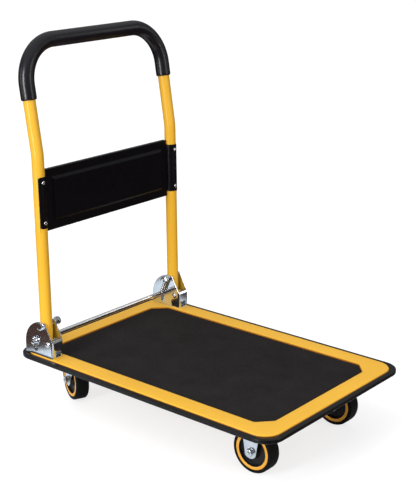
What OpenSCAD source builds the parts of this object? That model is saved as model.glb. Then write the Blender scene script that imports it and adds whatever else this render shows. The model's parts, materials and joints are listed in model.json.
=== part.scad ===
// Folding platform cart: a pressed steel deck on four casters, with a push handle
// that folds down onto the deck.
// X runs from the handle end (-X) to the free end (+X), Z is up, and the ground is Z = 0.
// "left" is the +Y side, as seen by someone who stands behind the handle.

/* [Deck] */
// Length of the steel deck, without the bumper
deck_l = 725; // [600:5:900]
// Width of the steel deck, without the bumper
deck_w = 480; // [400:5:600]
// Corner radius of the deck in plan
deck_r = 42; // [24:1:60]
// Sheet thickness of the deck
sheet_t = 2; // [1:0.25:3]
// Rounding of the deck's top edge
edge_r = 4; // [2:0.5:5]
// Height of the turned-down skirt, from the top of the border
skirt_h = 10; // [9:0.5:16]
// Width of the raised border at the two ends
border_x = 41; // [30:0.5:60]
// Width of the raised border along the two sides
border_y = 44.5; // [36:0.5:60]
// Depth of the recess that holds the mat
recess_h = 6; // [4:0.5:7]
// Corner cut of the recess, along the length
cut_x = 30; // [15:1:45]
// Corner cut of the recess, along the width
cut_y = 32; // [15:1:45]
// Thickness of the mat
mat_t = 2.6; // [2:0.1:3.5]
// Gap between the mat and the wall of the recess
mat_gap = 0.4; // [0.2:0.1:1]

/* [Bumper] */
// How far the bumper stands out from the deck
bumper_out = 12; // [8:0.5:16]
// Corner radius of the bumper in plan
bumper_r = 44; // [30:1:60]
// Drop from the top of the border to the top of the bumper
bumper_drop = 2.8; // [1:0.2:5]
// Thickness of the lip under the deck's skirt
bumper_lip = 2; // [1.5:0.5:4]
// Rounding of the bumper's outer edges
bumper_edge_r = 2; // [1:0.25:3]
// Radius of the groove that runs round the bumper
groove_r = 0.9; // [0.5:0.1:1.2]

/* [Underframe] */
// Width of the stiffening channels
channel_w = 30; // [20:1:40]
// Height of the stiffening channels
channel_h = 14; // [8:1:18]
// Distance of the cross channels from the middle of the deck
crossbar_x = 150; // [100:5:170]
// Distance of the long channels from the middle of the deck
rail_y = 60; // [30:5:90]

/* [Handle] */
// Diameter of the handle tube
tube_d = 28; // [20:0.5:32]
// Wall thickness of the handle tube
tube_t = 1.5; // [1:0.25:2.5]
// Length of the straight lower legs, from the pivot to the bend
leg_l = 398; // [300:1:440]
// Length of the leaning upper legs, from the bend to the middle of the top bar
upper_l = 246.5; // [200:0.5:340]
// Backward lean of the lower legs as the handle stands, in degrees
stand_lean = 0.75; // [0:0.25:3]
// Further backward lean of the upper legs, in degrees
lean = 8.3; // [4:0.1:12]
// Radius of the two top corners
corner_r = 92; // [60:1:110]
// Diameter of the grip sleeve
grip_d = 35.5; // [31:0.5:42]
// Length of the grip along each leg, from the middle of the top bar
grip_l = 124; // [112:1:180]

/* [Back panel] */
// Sheet thickness of the panel
panel_t = 1.2; // [0.8:0.1:2]
// Height of the panel's bottom edge above the pivot
panel_low = 220; // [150:5:240]
// Height of the panel
panel_h = 142; // [100:1:150]
// Height of the side tabs
tab_h = 119; // [80:1:130]
// How far each tab wraps round the outer side of its tube, in degrees from the front
tab_wrap = 50; // [20:5:70]
// Gap between the panel's body and each tube
panel_gap = 2.5; // [1.5:0.5:12]
// Depth of the folded top and bottom flanges
flange_d = 10; // [5:0.5:15]
// Width of the flat border round the raised field
field_border = 18; // [10:1:30]
// Height of the raised field
field_rise = 5; // [2:0.5:8]
// Diameter of the panel screws
screw_d = 4; // [3:0.5:5]

/* [Hinge] */
// Height of the pivot above the deck's border
pivot_h = 74.5; // [68:0.5:90]
// Diameter of the pivot bolts
pivot_d = 10; // [8:0.5:12]
// Wall of the bush round each pivot bolt
bush_t = 2; // [1.5:0.25:3]
// Plate thickness of the hinge brackets
plate_t = 2.5; // [2:0.25:4]
// Gap between the tube and each cheek of its bracket
tube_gap = 1; // [0.5:0.25:2]
// Radius of the rounded back of the cheeks
cheek_r = 58.5; // [54:0.5:64]
// Height of the front web between the cheeks
web_h = 38; // [30:1:44]
// Diameter of the stop rivets
stop_d = 10; // [6:0.5:12]
// Diameter of the bolts that hold the brackets and the casters
bolt_d = 8; // [6:1:8]

/* [Lock] */
// Diameter of the lock bar
bar_d = 10; // [8:0.5:12]
// Gap between the resting lock bar and the tube, and between the stop rivet and the tube
heel_gap = 1; // [0.5:0.25:2]
// Height of the resting lock bar below the pivot
bar_drop = 42; // [38:0.5:44]
// Travel of the lock bar when it is pressed down
bar_travel = 18; // [14:1:20]
// Wire diameter of the lock springs
wire_d = 1.6; // [1.2:0.1:2]
// Outer diameter of the lock springs
spring_d = 10; // [8:0.5:11]

/* [Casters] */
// Wheel diameter
wheel_d = 100; // [75:5:125]
// Wheel width
wheel_w = 32; // [24:1:40]
// Thickness of the rubber tyre
tyre_t = 8; // [6:0.5:10]
// Width of the coloured ring on each face of the wheel
ring_w = 7; // [4:0.5:9]
// Axle diameter
axle_d = 10; // [8:0.5:12]
// Plate thickness of forks and caster plates
fork_t = 2.5; // [2:0.25:4]
// Gap above the wheel
wheel_gap = 6; // [4:0.5:10]
// Height of the swivel bearing
race_h = 18.5; // [15:0.5:24]
// Length of the caster plates
caster_l = 95; // [90:1:110]
// Width of the caster plates
caster_w = 75; // [70:1:90]
// Distance from the caster's middle to the end of the recess
caster_edge_x = 58; // [54:1:80]
// Distance from the caster's middle to the side of the recess
caster_edge_y = 45.5; // [42:0.5:70]
// Trail of the swivel casters
trail = 32; // [26:1:40]
// Swivel of the right rear caster as it stands, in degrees
swivel_right = -24; // [-180:1:180]
// Swivel of the left rear caster as it stands, in degrees
swivel_left = 0; // [-180:1:180]

/* [Hidden] */
$fn = 64;

// Clearances
run_fit = 0.05;   // radial gap of a part that turns on a bolt
side_fit = 0.3;   // side gap of a part that turns or slides beside another
race_gap = 0.2;   // gap between the two halves of a swivel bearing
hole_gap = 0.3;   // radial gap of a bolt in its hole
wrap_gap = 0.1;   // gap between a panel tab and its tube
pierce = 1;       // how far a cut runs past the face it opens
bead = 0.1;       // how far the ball in a bend stands proud of the tube
thread_end = 3;   // how far a pivot bolt runs past its nut
spring_gap = 1.5; // gap on each side of a lock spring, along the pivot bolt

// Heights, from the ground up
axle_z = wheel_d / 2;
crown_z = wheel_d + wheel_gap;
caster_z = crown_z + fork_t + race_h + fork_t;
floor_z = caster_z + sheet_t;
deck_top = floor_z + recess_h;
skirt_z = deck_top - skirt_h;
bumper_z = skirt_z - bumper_lip;
bumper_top = deck_top - bumper_drop;
bumper_hook = 5;
groove_z = bumper_z + 3.4;

// Hinge and lock, seen from the side: x from the tube's axis, z from the border
bracket_half = tube_d / 2 + tube_gap + plate_t;
pivot_edge = 9;
cheek_z = pivot_h + pivot_edge - cheek_r;
cheek_x = 4;
cheek_back = cheek_r - cheek_x;
bracket_margin = 7.5;
bracket_edge = 2.5;
bracket_bend_r = 5;
base_t = 3;
stop_x = tube_d / 2 + heel_gap + stop_d / 2;
stop_head_d = stop_d + 4;
stop_head_h = 3;
web_x = stop_x + 16;
nose_x = 10;
bar_x = -(tube_d / 2 + heel_gap + bar_d / 2);
bar_z = pivot_h - bar_drop;
handle_y = deck_w / 2 - bracket_edge - bracket_half;
hinge_x = -(deck_l / 2 - edge_r - bracket_margin - cheek_back);
pivot_z = deck_top + pivot_h;
heel_clear = 0.5;
heel_reach = norm([bar_x, bar_drop]) - bar_d / 2 - heel_clear;
heel_l = sqrt(pow(heel_reach, 2) - pow(tube_d / 2, 2));
base_bolt_x = [web_x - plate_t - 12.5, -cheek_back + 16];
window_w = 17;
window_h = 14;

// Lock springs and the ends of the pivot bolts and the lock bar
hook_r = pivot_d / 2 + wire_d / 2 + 0.1;
spring_y = bracket_half + spring_d / 2 + spring_gap;
nut_y = spring_y + spring_d / 2 + spring_gap;   // inboard of the spring
spring_run = norm([bar_x, bar_drop]);
spring_lean = atan2(-bar_x, bar_drop);
bar_hook_r = bar_d / 2 + wire_d / 2 + 0.1;
coil_l = spring_run - hook_r - bar_hook_r - 1.5 * wire_d;
coil_pitch = wire_d * 0.9;
coils = ceil(coil_l / coil_pitch);
washer_d = bar_d * 2;
washer_t = 1.5;
pin_d = 3;
pin_y = bracket_half + 5;
bar_end = bracket_half + 10;

// Handle
leg_inner_d = tube_d - 2 * tube_t;
plug_flange = 2;
plug_l = 12;
tab_low = panel_low + (panel_h - tab_h) / 2;
tab_corner = 6;
body_half = handle_y - tube_d / 2 - panel_gap;
field_bevel = 7;
screw_inset = 13;
screw_head_d = screw_d * 2.2;
screw_head_h = 2.2;
screw_l = 8;

// Casters
fork_half = wheel_w / 2 + 2 + 0.5;
hub_half = fork_half - 0.5;
fork_out = fork_half + fork_t;
fork_r = 15;
fork_top_l = 56;
stud_x = caster_l / 2 - 10.5;
stud_y = caster_w / 2 - 8.5;
caster_x = deck_l / 2 - border_x - caster_edge_x;
caster_y = deck_w / 2 - border_y - caster_edge_y;
kingpin_d = 12;
kingpin_head_d = 20;
kingpin_head_h = 6;
race_r = 22;
cup_r = 24;
race_split = crown_z + fork_t + race_h / 2;
ring_r = wheel_d / 2 - tyre_t;
ring_t = 2.5;
face_step = 0.5;
hub_web = 9;
boss_r = 15;
bush_r = axle_d / 2 + 3;

// Colours
paint = "#f2b632";
rubber = "#1b1b1c";
mat_black = "#2b2a2b";
zinc = "#c9d2d8";
chrome = "#dfe3e6";
black_sheet = "#0f0f12";
hub_black = "#141415";

// ---------- Shared shapes ----------

// Rectangle with rounded corners
module rrect(l, w, r) {
    square([l - 2 * r, w], center = true);
    square([l, w - 2 * r], center = true);
    for (sx = [-1, 1], sy = [-1, 1])
        translate([sx * (l / 2 - r), sy * (w / 2 - r)]) circle(r);
}

// Sweeps its 2D children round a rounded rectangle; a child's x = r lies on the outline
module rim(l, w, r) {
    for (k = [0 : 3]) {
        run = k % 2 == 0 ? w : l;
        out = k % 2 == 0 ? l : w;
        rotate(k * 90) {
            translate([out / 2 - r, 0]) rotate([90, 0, 0])
                linear_extrude(run - 2 * r, center = true) children();
            translate([out / 2 - r, run / 2 - r]) rotate_extrude(angle = 90) children();
        }
    }
}

// The part outside a quarter circle of radius q, for rounding an edge at x = r, z = top
module edge_cut(r, top, q) {
    translate([r - q, top - q]) difference() {
        square(q + pierce);
        circle(q);
    }
}

// The same for a lower edge
module low_edge_cut(r, low, q) {
    translate([r - q, low + q]) mirror([0, 1]) difference() {
        square(q + pierce);
        circle(q);
    }
}

// Corner cut of the recess outline after the whole outline moved out by e
function cut_grown(c, other, e) = c + e * (1 + c / other - c * norm([1 / c, 1 / other]));

// Outline of the recess, moved out by e
module recess_outline(e) {
    hx = deck_l / 2 - border_x + e;
    hy = deck_w / 2 - border_y + e;
    cx = cut_grown(cut_x, cut_y, e);
    cy = cut_grown(cut_y, cut_x, e);
    polygon([
        [hx, hy - cy], [hx - cx, hy], [-hx + cx, hy], [-hx, hy - cy],
        [-hx, -hy + cy], [-hx + cx, -hy], [hx - cx, -hy], [hx, -hy + cy]
    ]);
}

// Upright cylinder from z0 to z1
module post(d, z0, z1) translate([0, 0, z0]) cylinder(d = d, h = z1 - z0);

// Hexagon bolt head or nut blank from z0 to z1, across flats af
module hex(af, z0, z1) translate([0, 0, z0]) cylinder(d = af / cos(30), h = z1 - z0, $fn = 6);

// Turns an upright shape so that its +z points to +y
module along_y() rotate([-90, 0, 0]) children();

// Hexagon size across flats for a bolt of diameter d
function flats(d) = d * 1.6;
function nut_h(d) = d * 0.8;
function head_h(d) = d * 0.66;

// ---------- Deck ----------

module deck_pan() color(paint) difference() {
    translate([0, 0, skirt_z]) linear_extrude(skirt_h) rrect(deck_l, deck_w, deck_r);
    translate([0, 0, floor_z]) linear_extrude(recess_h + pierce) recess_outline(0);
    translate([0, 0, skirt_z - pierce]) linear_extrude(caster_z - skirt_z + pierce)
        rrect(deck_l - 2 * sheet_t, deck_w - 2 * sheet_t, deck_r - sheet_t);
    translate([0, 0, skirt_z - pierce]) linear_extrude(skirt_h - sheet_t + pierce) difference() {
        rrect(deck_l - 2 * sheet_t, deck_w - 2 * sheet_t, deck_r - sheet_t);
        recess_outline(sheet_t);
    }
    rim(deck_l, deck_w, deck_r) edge_cut(deck_r, deck_top, edge_r);
    at_bracket_bolts() post(bolt_d + 2 * hole_gap, deck_top - skirt_h, deck_top + pierce);
}

module deck_mat() color(mat_black)
    translate([0, 0, floor_z]) linear_extrude(mat_t) recess_outline(-mat_gap);

module deck_bumper() color(rubber) difference() {
    l = deck_l + 2 * bumper_out;
    w = deck_w + 2 * bumper_out;
    translate([0, 0, bumper_z]) linear_extrude(bumper_top - bumper_z) rrect(l, w, bumper_r);
    translate([0, 0, skirt_z]) linear_extrude(skirt_h) rrect(deck_l, deck_w, deck_r);
    translate([0, 0, bumper_z - pierce]) linear_extrude(bumper_lip + 2 * pierce)
        rrect(deck_l - 2 * bumper_hook, deck_w - 2 * bumper_hook, deck_r - bumper_hook);
    rim(l, w, bumper_r) {
        edge_cut(bumper_r, bumper_top, bumper_edge_r);
        low_edge_cut(bumper_r, bumper_z, bumper_edge_r);
        translate([bumper_r, groove_z]) circle(groove_r);
    }
}

// Channel that opens downwards, along x, with its back on the deck
module channel(l) translate([0, 0, caster_z - channel_h]) difference() {
    translate([-l / 2, -channel_w / 2, 0]) cube([l, channel_w, channel_h]);
    translate([-l / 2 - pierce, -channel_w / 2 + sheet_t, -pierce])
        cube([l + 2 * pierce, channel_w - 2 * sheet_t, channel_h - sheet_t + pierce]);
}

module crossbar(end) color(paint)
    translate([end * crossbar_x, 0, 0]) rotate(90) channel(deck_w - 2 * border_y - 20);

module rail(side) color(paint)
    translate([0, side * rail_y, 0]) channel(2 * crossbar_x - channel_w);

// ---------- Hinge brackets ----------

// Places its children on one hinge: x from the tube's axis, y outwards, z from the border
module at_hinge(side) translate([hinge_x, side * handle_y, deck_top])
    mirror([0, side < 0 ? 1 : 0, 0]) children();

module at_both_hinges() for (side = [-1, 1]) at_hinge(side) children();

module at_bracket_bolts() at_both_hinges() for (x = base_bolt_x)
    translate([x, 0, -deck_top]) children();

module cheek_outline() intersection() {
    union() {
        translate([cheek_x, cheek_z]) circle(cheek_r);
        translate([-cheek_back, 0]) square([cheek_back + web_x, cheek_z]);
    }
    polygon([
        [-2 * cheek_r, 0], [web_x, 0], [web_x, web_h], [nose_x, pivot_h + pivot_edge],
        [nose_x, 2 * pivot_h], [-2 * cheek_r, 2 * pivot_h]
    ]);
}

// Plan of the bracket, its front end rounded, drawn in by e on all sides
module bracket_plan(e) translate([web_x - 2 * cheek_r, 0])
    rrect(4 * cheek_r - 2 * e, 2 * (bracket_half - e), bracket_bend_r - e);

module hinge_bracket(side) color(zinc) at_hinge(side) difference() {
    intersection() {
        rotate([90, 0, 0]) linear_extrude(4 * bracket_half, center = true) cheek_outline();
        union() {
            linear_extrude(2 * pivot_h) difference() {
                bracket_plan(0);
                bracket_plan(plate_t);
            }
            linear_extrude(base_t) bracket_plan(0);
        }
    }
    translate([0, -2 * bracket_half, pivot_h]) along_y() post(pivot_d, 0, 4 * bracket_half);
    translate([stop_x, -2 * bracket_half, bar_z]) along_y() post(stop_d, 0, 4 * bracket_half);
    translate([bar_x, -2 * bracket_half, 0]) lock_slot();
    for (x = base_bolt_x) translate([x, 0, 0])
        post(bolt_d + 2 * hole_gap, -pierce, base_t + pierce);
    translate([web_x - plate_t - pierce, -window_w / 2, base_t])
        cube([plate_t + 2 * pierce, window_w, window_h]);
}

// Upright slot for the lock bar, through both cheeks
module lock_slot() {
    d = bar_d + 2 * side_fit;
    for (z = [bar_z, bar_z - bar_travel - pierce])
        translate([0, 0, z]) along_y() post(d, 0, 4 * bracket_half);
    translate([-d / 2, 0, bar_z - bar_travel - pierce])
        cube([d, 4 * bracket_half, bar_travel + pierce]);
}

module bracket_bolts() color(zinc) at_bracket_bolts() {
    hex(flats(bolt_d), deck_top + base_t, deck_top + base_t + head_h(bolt_d));
    post(bolt_d, deck_top - sheet_t - nut_h(bolt_d) - 2, deck_top + base_t + pierce);
}

module bracket_nuts() color(zinc) at_bracket_bolts() difference() {
    hex(flats(bolt_d), deck_top - sheet_t - nut_h(bolt_d), deck_top - sheet_t);
    post(bolt_d, deck_top - sheet_t - nut_h(bolt_d) - pierce, deck_top);
}

module pivot_bolts() color(zinc) at_both_hinges() translate([0, 0, pivot_h]) along_y() {
    hex(flats(pivot_d), bracket_half, bracket_half + head_h(pivot_d));
    post(pivot_d, -nut_y - nut_h(pivot_d) - thread_end, bracket_half + pierce);
}

module pivot_nuts() color(zinc) at_both_hinges() translate([0, 0, pivot_h]) along_y() difference() {
    hex(flats(pivot_d), -nut_y - nut_h(pivot_d), -nut_y);
    post(pivot_d, -nut_y - nut_h(pivot_d) - pierce, -nut_y + pierce);
}

module stop_rivets() color(zinc) at_both_hinges() translate([stop_x, 0, bar_z]) along_y() {
    post(stop_d, -bracket_half, bracket_half);
    for (s = [0, 1]) mirror([0, 0, s]) translate([0, 0, bracket_half]) rotate_extrude()
        intersection() {
            translate([0, stop_head_h - stop_head_d]) circle(stop_head_d);
            square([stop_head_d / 2, stop_head_h]);
        }
}

// ---------- Handle ----------

// Places its children on the standing handle: z = 0 at the pivot, z along the lower legs
module at_pivot() translate([hinge_x, 0, pivot_z]) rotate([0, -stand_lean, 0]) children();

// Places its children in the leaning upper frame, with z = 0 at the bend
module at_upper() at_pivot() translate([0, 0, leg_l]) rotate([0, -lean, 0]) children();

module both_sides() for (s = [0, 1]) mirror([0, s, 0]) children();

// Solid of the lower legs, of diameter d, with a ball where each one bends back
module legs(d) at_pivot() both_sides() translate([0, handle_y, leg_l]) {
    sphere(d = d + 2 * bead);
    mirror([0, 0, 1]) cylinder(d = d, h = leg_l + heel_l);
}

// Solid of the top of the frame, of diameter d, which starts at height z0 of the upper legs
module hoop(d, z0) at_upper() {
    both_sides() {
        translate([0, handle_y, 0]) post(d, z0, upper_l - corner_r);
        translate([0, handle_y - corner_r, upper_l - corner_r]) rotate([90, 0, 90])
            rotate_extrude(angle = 90) translate([corner_r, 0]) circle(d = d);
    }
    translate([0, corner_r - handle_y, upper_l]) along_y() post(d, 0, 2 * (handle_y - corner_r));
}

module handle_tube() color(paint) difference() {
    union() {
        legs(tube_d);
        hoop(tube_d, 0);
    }
    union() {
        legs(leg_inner_d);
        hoop(leg_inner_d, 0);
    }
    at_pivot() both_sides() {
        translate([0, handle_y - tube_d, 0]) along_y() post(pivot_d + 2 * bush_t, 0, 2 * tube_d);
        at_screws() post(screw_d, -tube_t * 2, tube_d / 2);
    }
}

module handle_grip() color(rubber) difference() {
    hoop(grip_d, upper_l - grip_l);
    hoop(tube_d, upper_l - grip_l - pierce);
}

// Places its children at the two screws of one side, with +z pointing into the tube's front
module at_screws() for (z = [tab_low + screw_inset, tab_low + tab_h - screw_inset])
    translate([tube_d / 2, handle_y, z]) rotate([0, -90, 0]) children();

// Four-sided solid that narrows from half sizes y0, z0 at x0 to y1, z1 at x1
module frustum(x0, x1, y0, y1, z0, z1) intersection() {
    linear_extrude(4 * z0, center = true) polygon([[x0, -y0], [x1, -y1], [x1, y1], [x0, y0]]);
    rotate([90, 0, 0]) linear_extrude(4 * y0, center = true)
        polygon([[x0, -z0], [x1, -z1], [x1, z1], [x0, z0]]);
}

module back_panel() color(black_sheet) at_pivot() difference() {
    fy = body_half - field_border;
    fz = panel_h / 2 - field_border;
    mid = panel_low + panel_h / 2;
    union() {
        translate([0, 0, mid]) difference() {
            union() {
                translate([0, -body_half, -panel_h / 2]) cube([panel_t, 2 * body_half, panel_h]);
                frustum(0, field_rise + panel_t, fy, fy - field_bevel, fz, fz - field_bevel);
            }
            frustum(-panel_t, field_rise, fy - panel_t, fy - field_bevel - panel_t,
                fz - panel_t, fz - field_bevel - panel_t);
        }
        for (z = [panel_low, panel_low + panel_h - panel_t])
            translate([-flange_d, -body_half, z]) cube([flange_d + panel_t, 2 * body_half, panel_t]);
        both_sides() panel_tab();
    }
    both_sides() at_screws() post(screw_d + 2 * hole_gap, -tube_d, tube_d / 4);
}

// Strip that runs from the panel's body round the front of the tube, its free corners rounded
module panel_tab() intersection() {
    r = tube_d / 2 + wrap_gap;
    reach = (r + panel_t) * sin(tab_wrap);
    translate([0, 0, tab_low]) union() {
        translate([0, body_half - panel_t, 0])
            cube([panel_t, handle_y - r - panel_t / 2 - body_half + panel_t, tab_h]);
        translate([0, handle_y, 0]) rotate(-90) rotate_extrude(angle = 90 + tab_wrap)
            translate([r, 0]) square([panel_t, tab_h]);
    }
    translate([-pierce, 0, tab_low + tab_h / 2]) rotate([90, 0, 90]) linear_extrude(tube_d) {
        square([2 * (handle_y + reach - tab_corner), tab_h], center = true);
        square([2 * (handle_y + reach), tab_h - 2 * tab_corner], center = true);
        for (s = [-1, 1]) translate([handle_y + reach - tab_corner, s * (tab_h / 2 - tab_corner)])
            circle(tab_corner);
    }
}

module panel_screws() color(chrome) at_pivot() both_sides() at_screws() {
    seat = -panel_t - wrap_gap;
    post(screw_d, seat - pierce, screw_l);
    translate([0, 0, seat]) mirror([0, 0, 1]) rotate_extrude() intersection() {
        translate([0, screw_head_h - screw_head_d]) circle(screw_head_d);
        square([screw_head_d / 2, screw_head_h]);
    }
}

module pivot_bushes() color(zinc) at_pivot() both_sides() translate([0, handle_y, 0]) along_y()
    difference() {
        half = bracket_half - plate_t - side_fit;
        post(pivot_d + 2 * bush_t, -half, half);
        post(pivot_d + 2 * run_fit, -half - pierce, half + pierce);
    }

module heel_plugs() color(rubber) at_pivot() both_sides() translate([0, handle_y, 0]) {
    post(leg_inner_d, -heel_l, -heel_l + plug_l);
}

// ---------- Lock ----------

module lock_bar() color(chrome) difference() {
    translate([hinge_x + bar_x, -handle_y - bar_end, deck_top + bar_z]) along_y()
        post(bar_d, 0, 2 * (handle_y + bar_end));
    at_both_hinges() translate([bar_x, pin_y, bar_z - bar_d])
        post(pin_d + 2 * run_fit, 0, 2 * bar_d);
}

module lock_washers() color(zinc) at_both_hinges() translate([bar_x, 0, bar_z]) along_y()
    difference() {
        post(washer_d, bracket_half + side_fit, bracket_half + side_fit + washer_t);
        post(bar_d, bracket_half - pierce, bracket_half + washer_t + 2 * pierce);
    }

// Split pin: an eye above the bar and a straight shank through it
module lock_pins() color(zinc) at_both_hinges() translate([bar_x, pin_y, bar_z]) {
    eye_r = pin_d;
    post(pin_d, -bar_d, bar_d / 2 + pin_d / 2);
    translate([0, 0, bar_d / 2 + pin_d / 2 + eye_r]) rotate([90, 0, 0])
        rotate_extrude() translate([eye_r, 0]) circle(d = pin_d / 2);
}

// Close-wound spring from the pivot bolt to the lock bar, with a round eye at each end
module lock_spring(side) color(chrome) at_hinge(side) translate([0, -spring_y, pivot_h]) {
    eye(hook_r);
    translate([bar_x, 0, -bar_drop]) eye(bar_hook_r);
    rotate([0, spring_lean, 0]) {
        top = -hook_r - wire_d * 0.75;
        low = -spring_run + bar_hook_r + wire_d * 0.75;
        for (k = [0 : coils]) translate([0, 0, top + (low - top) * k / coils])
            rotate_extrude() translate([(spring_d - wire_d) / 2, 0]) circle(d = wire_d);
        for (z = [top, low]) translate([0, 0, z]) rotate([0, 90, 0])
            cylinder(d = wire_d, h = spring_d - wire_d, center = true);
    }
}

module eye(r) rotate([90, 0, 0]) rotate_extrude() translate([r, 0]) circle(d = wire_d);

// ---------- Casters ----------

// Corner: end = 1 front, -1 rear; side = 1 left, -1 right
module at_caster(end, side) translate([end * caster_x, side * caster_y, 0]) children();

module at_studs() for (end = [-1, 1], side = [-1, 1]) at_caster(end, side) stud_places() children();

module stud_places() for (sx = [-1, 1], sy = [-1, 1])
    translate([sx * stud_x, sy * stud_y, 0]) children();

module caster_plate() difference() {
    translate([0, 0, caster_z - fork_t]) linear_extrude(fork_t) rrect(caster_l, caster_w, 8);
    stud_places() post(bolt_d + 2 * hole_gap, caster_z - fork_t - pierce, caster_z + pierce);
}

module caster_studs() color(zinc) at_studs()
    post(bolt_d, caster_z - fork_t - nut_h(bolt_d) - 2.5, caster_z);

module caster_nuts() color(zinc) at_studs() difference() {
    hex(flats(bolt_d), caster_z - fork_t - nut_h(bolt_d), caster_z - fork_t);
    post(bolt_d, caster_z - fork_t - nut_h(bolt_d) - pierce, caster_z);
}

// Side plate of a fork: rounded round the axle at x, up to a straight top from x0 to x1 at z
module fork_side(x, x0, x1, z) difference() {
    union() {
        translate([x, axle_z]) circle(fork_r);
        polygon([[x - fork_r, axle_z], [x + fork_r, axle_z], [x1, z], [x0, z]]);
    }
    translate([x, axle_z]) circle(d = axle_d);
}

// The two side plates of a fork
module fork_pair(x, x0, x1, z) for (y = [-fork_out, fork_half])
    translate([0, y + fork_t, 0]) rotate([90, 0, 0]) linear_extrude(fork_t) fork_side(x, x0, x1, z);

module front_fork(side) color(zinc) at_caster(1, side) {
    caster_plate();
    fork_pair(0, -fork_top_l / 2, fork_top_l / 2, caster_z - fork_t / 2);
}

module swivel_plate(side) color(zinc) at_caster(-1, side) difference() {
    union() {
        caster_plate();
        post(2 * cup_r, race_split + race_gap / 2, caster_z - fork_t / 2);
    }
    post(kingpin_d, crown_z, caster_z + pierce);
}

module kingpins() color(zinc) for (side = [-1, 1]) at_caster(-1, side) {
    post(kingpin_d, crown_z - race_gap - pierce, caster_z);
    post(kingpin_head_d, crown_z - race_gap / 2 - kingpin_head_h, crown_z - race_gap / 2);
}

// Places its children on a rear caster as it stands, with -x pointing to the wheel
module at_swivel(side) at_caster(-1, side)
    rotate(side > 0 ? swivel_left : swivel_right) children();

module swivel_fork(side) color(zinc) at_swivel(side) {
    front = 24;
    back = -trail - 14;
    difference() {
        union() {
            translate([0, 0, crown_z]) linear_extrude(fork_t) {
                circle(cup_r);
                translate([back, -fork_out]) square([front - 6 - back, 2 * fork_out]);
            }
            fork_pair(-trail, back, front - 6, crown_z + fork_t / 2);
        }
        post(kingpin_d + 2 * run_fit, crown_z - pierce, crown_z + fork_t + pierce);
    }
}

module swivel_race(side) color(zinc) at_swivel(side) difference() {
    post(2 * race_r, crown_z + fork_t, race_split - race_gap / 2);
    post(kingpin_d + 2 * run_fit, crown_z, race_split + pierce);
}

// Axle bolt along y, its head on the -y side and its nut on the +y side
module axle() along_y() {
    hex(flats(axle_d), -fork_out - head_h(axle_d), -fork_out);
    post(axle_d, -fork_out - pierce, fork_out + nut_h(axle_d) + 2);
}

module axle_nut() along_y() difference() {
    hex(flats(axle_d), fork_out, fork_out + nut_h(axle_d));
    post(axle_d, fork_out - pierce, fork_out + nut_h(axle_d) + pierce);
}

// Places its children at a wheel's middle, with +y pointing away from the cart's middle
module at_wheel(end, side) {
    if (end > 0) at_caster(1, side) translate([0, 0, axle_z])
        mirror([0, side < 0 ? 1 : 0, 0]) children();
    else at_swivel(side) translate([-trail, 0, axle_z])
        mirror([0, side < 0 ? 1 : 0, 0]) children();
}

module front_axles() color(zinc) for (side = [-1, 1]) at_wheel(1, side) axle();
module front_axle_nuts() color(zinc) for (side = [-1, 1]) at_wheel(1, side) axle_nut();
module rear_axle(side) color(zinc) at_wheel(-1, side) axle();
module rear_axle_nut(side) color(zinc) at_wheel(-1, side) axle_nut();

// Turns a profile, x = radius and y = across the wheel, into a wheel part
module wheel_turn() rotate([90, 0, 0]) rotate_extrude($fn = 96) children();

module tyre() color(rubber) wheel_turn() {
    shoulder = tyre_t / 2;
    translate([ring_r, -wheel_w / 2]) square([tyre_t - shoulder, wheel_w]);
    translate([ring_r, -wheel_w / 2 + shoulder]) square([tyre_t, wheel_w - 2 * shoulder]);
    for (s = [-1, 1]) translate([wheel_d / 2 - shoulder, s * (wheel_w / 2 - shoulder)])
        circle(shoulder);
}

// Core with a rim under each ring, a thinner web and a boss that fills the fork
module hub() color(hub_black) wheel_turn() {
    rim_half = wheel_w / 2 - face_step - ring_t;
    translate([ring_r - ring_w, -rim_half]) square([ring_w, 2 * rim_half]);
    translate([bush_r, -hub_web]) square([ring_r - bush_r, 2 * hub_web]);
    translate([bush_r, -hub_half]) square([boss_r - bush_r, 2 * hub_half]);
}

module rings() color(paint) for (s = [0, 1]) mirror([0, s, 0]) wheel_turn()
    translate([ring_r - ring_w, wheel_w / 2 - face_step - ring_t]) square([ring_w, ring_t]);

module bush() color(zinc) wheel_turn()
    translate([axle_d / 2 + run_fit, -hub_half]) square([bush_r - axle_d / 2 - run_fit, 2 * hub_half]);

// ---------- Nodes ----------

deck_pan();
deck_mat();
deck_bumper();
crossbar(1);  // crossbar_front
crossbar(-1);  // crossbar_rear
rail(1);  // rail_left
rail(-1);  // rail_right
hinge_bracket(1);  // hinge_bracket_left
hinge_bracket(-1);  // hinge_bracket_right
bracket_bolts();
bracket_nuts();
pivot_bolts();
pivot_nuts();
stop_rivets();
handle_tube();
handle_grip();
back_panel();
panel_screws();
pivot_bushes();
heel_plugs();
lock_bar();
lock_washers();
lock_pins();
lock_spring(1);  // lock_spring_left
lock_spring(-1);  // lock_spring_right
caster_studs();
caster_nuts();
front_fork(1);  // front_fork_left
front_fork(-1);  // front_fork_right
front_axles();
front_axle_nuts();
swivel_plate(1);  // swivel_plate_left
swivel_plate(-1);  // swivel_plate_right
kingpins();
swivel_fork(1);  // swivel_fork_left
swivel_fork(-1);  // swivel_fork_right
swivel_race(1);  // swivel_race_left
swivel_race(-1);  // swivel_race_right
rear_axle(1);  // rear_axle_left
rear_axle(-1);  // rear_axle_right
rear_axle_nut(1);  // rear_axle_nut_left
rear_axle_nut(-1);  // rear_axle_nut_right
at_wheel(1, 1) tyre();  // front_left_tyre
at_wheel(1, 1) hub();  // front_left_hub
at_wheel(1, 1) rings();  // front_left_rings
at_wheel(1, 1) bush();  // front_left_bush
at_wheel(1, -1) tyre();  // front_right_tyre
at_wheel(1, -1) hub();  // front_right_hub
at_wheel(1, -1) rings();  // front_right_rings
at_wheel(1, -1) bush();  // front_right_bush
at_wheel(-1, 1) tyre();  // rear_left_tyre
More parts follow.
